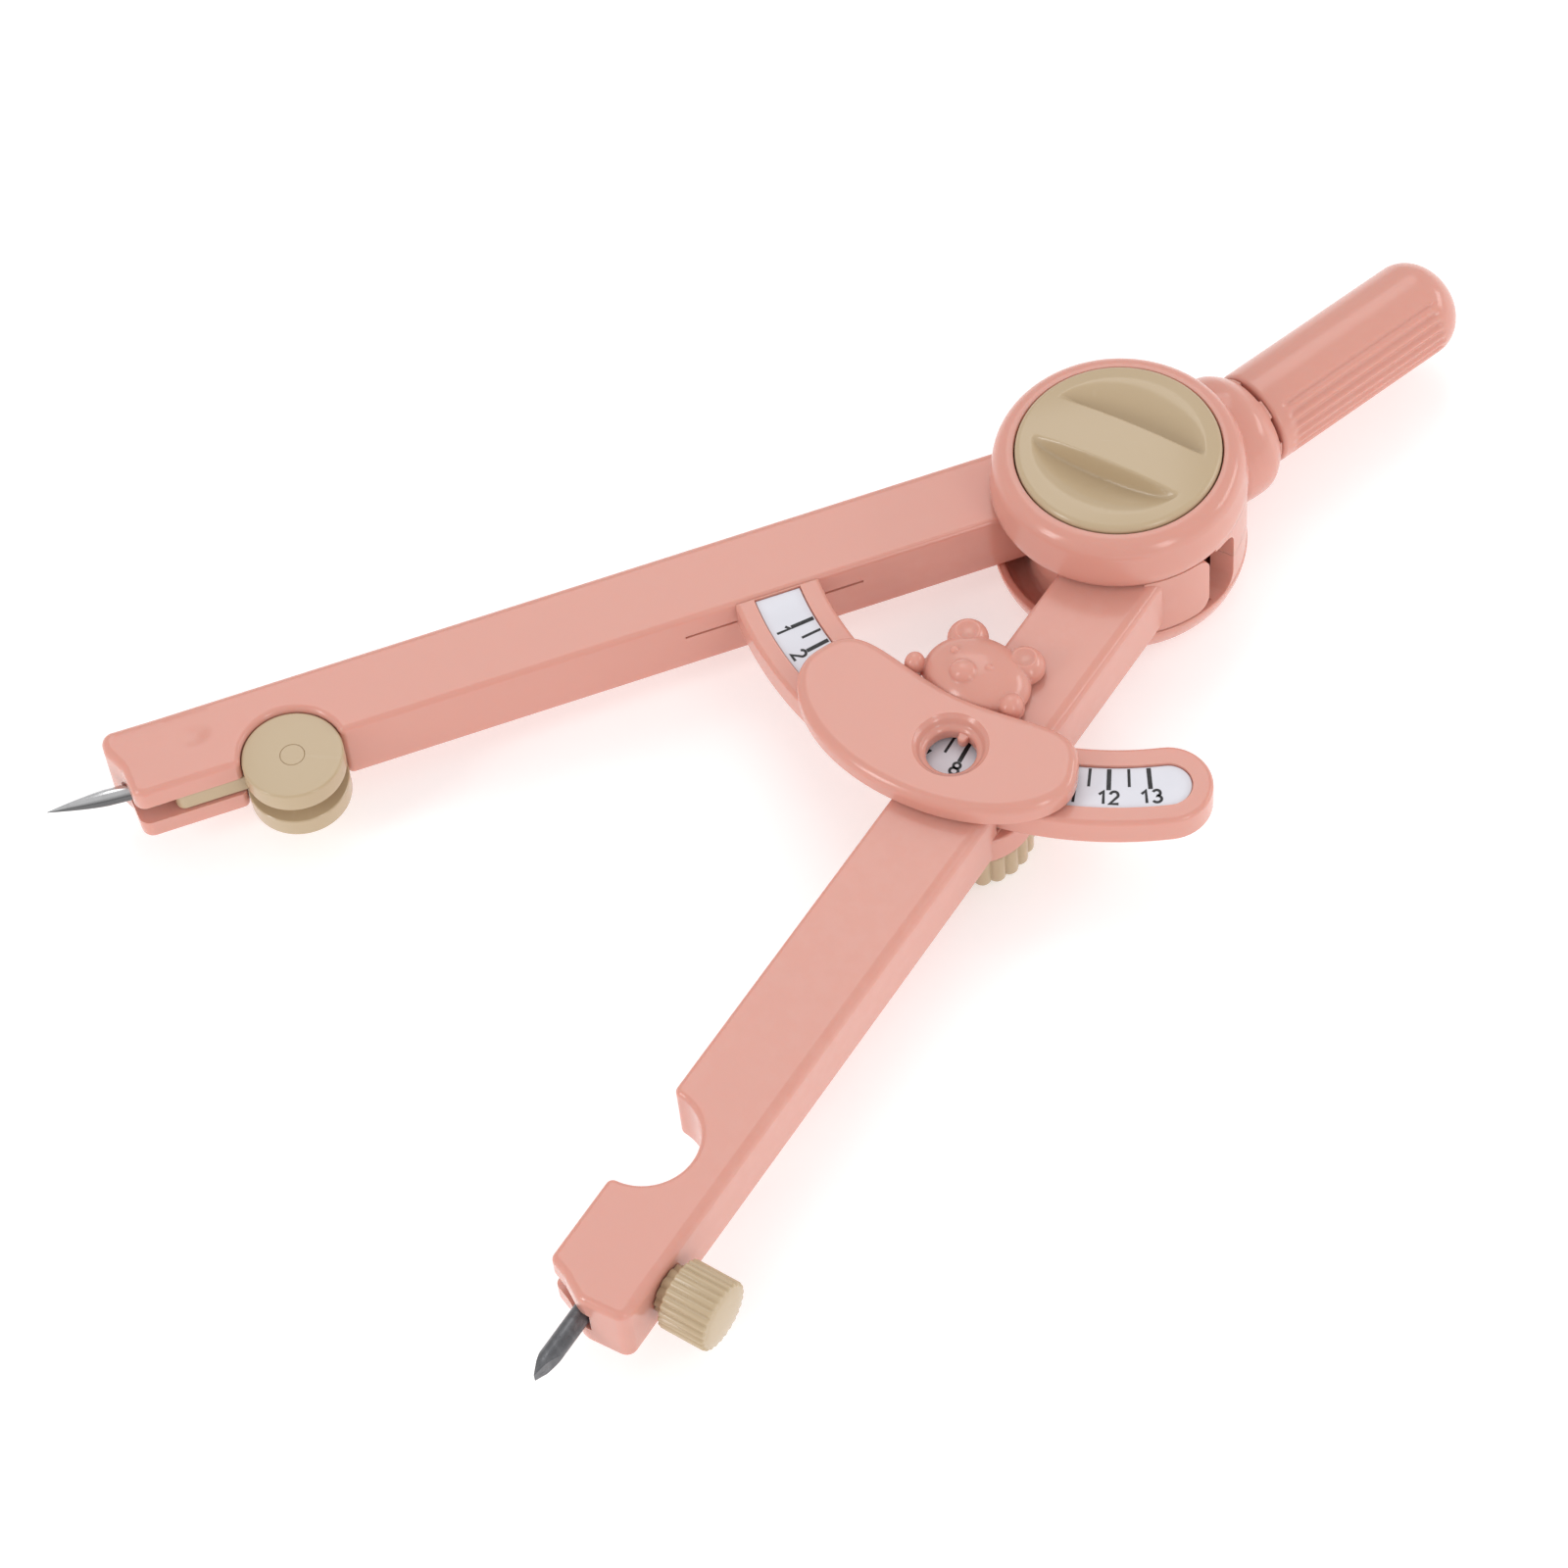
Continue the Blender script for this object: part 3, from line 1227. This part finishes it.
def clamp_knob():
    """Ribbed thumb knob that presses the lead, with its ribbed neck."""
    inner, outer, cap_radius = 10.8 * MM, 15.72 * MM, 3.1 * MM
    knob = plate(ribbed(3.5 * MM, 0.24 * MM, 26, 10, 0.9), inner, outer, 0.3 * MM, 0.2 * MM, 5)
    cap = [(0, outer - 1.0 * MM), (cap_radius, outer - 1.0 * MM)]
    for i in range(12):
        across = 1 - i / 12
        cap.append((cap_radius * across, outer - 0.05 * MM + 0.25 * MM * math.sqrt(1 - across**2)))
    cap.append((0, outer + 0.2 * MM))
    obj = new_object("clamp_thumb_knob", along_y(knob))
    neck = plate(ribbed(2.4 * MM, 0.22 * MM, 12, 10), LEAD_LEG_OUTER + 0.08 * MM, inner + 0.3 * MM)
    join(obj, along_y(neck), along_y(turned(cap, 96)))
    cut(obj, along_y(cylinder(1.15 * MM, 9.0 * MM, 14.5 * MM)))
    ease(obj, 0.06 * MM, 2, 50)
    place = LEAD_SIDE @ on_plane(CLAMP.x)
    return finish_piece(obj, place, "lead_clamp", ["lead_clamp_knob"], CREAM, 60)


def lock_knob():
    """Scalloped thumb knob under the lead leg that locks the scale."""
    knob = plate(ribbed(6.0 * MM, 0.42 * MM, 22, 14, 0.7), BASE, -4.1 * MM, 0.25 * MM, 0.55 * MM, 5)
    obj = new_object("lock_thumb_knob", knob)
    cut(obj, cylinder(LOCK_HOLE, -7.3 * MM, -3 * MM))
    dish = [(0, BASE - 1 * MM), (4.2 * MM, BASE - 1 * MM), (4.2 * MM, BASE + 0.25 * MM)]
    dish += [(3.9 * MM, BASE + 0.5 * MM), (0, BASE + 0.5 * MM)]
    cut(obj, turned(dish, 96))
    ease(obj, 0.06 * MM, 2, 50)
    place = LEAD_SIDE @ on_plane(LOCK.x, LOCK.y)
    return finish_piece(obj, place, "scale_lock", ["scale_lock_knob"], CREAM, 60)


def carried_over():
    """CAD pieces whose shape is right get their finished material."""
    finishes = {"steel": STEEL, "brass": BRASS, "nylon": NYLON}
    for part in frame["record"]["subparts"]:
        obj = frame["nodes"][part["node"]]
        if obj.hide_render:
            continue
        finish = finishes.get(part["material_slot"])
        if finish:
            obj.data.materials.clear()
            obj.data.materials.append(finish)


# ---- stage, light and camera

FLOOR_GLOW = 0.38
WORLD_STRENGTH = 0.70


def stage():
    """Plain pale floor under the part, lit a little from within so that it stays even."""
    bm = plate(circle(3.0, 64), -0.02, 0)
    floor = new_object("floor", bm)
    made = Shading("pale_floor")
    clouds = made.spread(made.noise(6, 2), 0.3, 0.7)
    base = made.mix(clouds, (0.80, 0.80, 0.803, 1), (0.815, 0.815, 0.818, 1))
    glow = {"Emission_Color": (1, 1, 1, 1), "Emission_Strength": FLOOR_GLOW}
    floor.data.materials.append(made.finished(base, 0.75, Specular_IOR_Level=0.2, **glow))


def softbox(name, place, target, size, watts):
    data = bpy.data.lights.new(name, "AREA")
    data.shape = "RECTANGLE"
    data.size, data.size_y = size
    data.energy = watts
    obj = bpy.data.objects.new(name, data)
    bpy.context.scene.collection.objects.link(obj)
    obj.location = place
    obj.rotation_mode = "QUATERNION"
    obj.rotation_quaternion = (Vector(target) - Vector(place)).to_track_quat("-Z", "Y")


def lights():
    world = bpy.data.worlds.new("studio")
    bpy.context.scene.world = world
    world.use_nodes = True
    background = world.node_tree.nodes["Background"]
    background.inputs["Color"].default_value = (1, 1, 1, 1)
    background.inputs["Strength"].default_value = WORLD_STRENGTH
    middle = (0, -0.03, 0)
    softbox("overhead", (-0.47, 0.28, 0.84), middle, (0.6, 0.6), 2.0)
    softbox("left_front", (-0.10, -0.75, 0.40), middle, (0.16, 0.4), 1.5)
    softbox("right_front", (0.78, -0.05, 0.36), middle, (0.16, 0.4), 1.0)
    softbox("back_rim", (0.35, 0.7, 0.30), middle, (0.5, 0.2), 1.2)


# The viewing angle in degrees, the lens in mm and the pivot's place in the view.
AZIMUTH = 57.354
ELEVATION = 55.703
ROLL = -6.670
LENS = 114.75
PIVOT_RIGHT = 33.383 * MM
PIVOT_UP = 27.246 * MM
DISTANCE = 497.468 * MM


def camera():
    """Looks down at the part from its front right; the pivot is right of and above the centre."""
    a, e = math.radians(AZIMUTH), math.radians(ELEVATION)
    back = Vector((math.sin(a) * math.cos(e), -math.cos(a) * math.cos(e), math.sin(e)))
    level = Vector((math.cos(a), math.sin(a), 0))
    upright = back.cross(level)
    turn = math.radians(ROLL)
    right = level * math.cos(turn) + upright * math.sin(turn)
    up = upright * math.cos(turn) - level * math.sin(turn)
    data = bpy.data.cameras.new("camera")
    data.lens = LENS
    data.sensor_width = 36
    data.clip_start, data.clip_end = 0.05, 20
    obj = bpy.data.objects.new("camera", data)
    bpy.context.scene.collection.objects.link(obj)
    place = Vector((0, 0, MID_Z)) + back * DISTANCE - right * PIVOT_RIGHT - up * PIVOT_UP
    obj.matrix_world = Matrix.Translation(place) @ Matrix((right, up, back)).transposed().to_4x4()
    bpy.context.scene.camera = obj


def build():
    bpy.context.scene.view_settings.view_transform = "Standard"
    upper_housing()
    lower_housing()
    hub_knob()
    handle()
    needle_leg()
    arc_scale()
    scale_print()
    needle_holder()
    needle()
    lead_leg()
    window_cover()
    bear()
    lead()
    clamp_knob()
    lock_knob()
    carried_over()
    stage()
    lights()
    camera()


build()
bpy.context.view_layer.update()
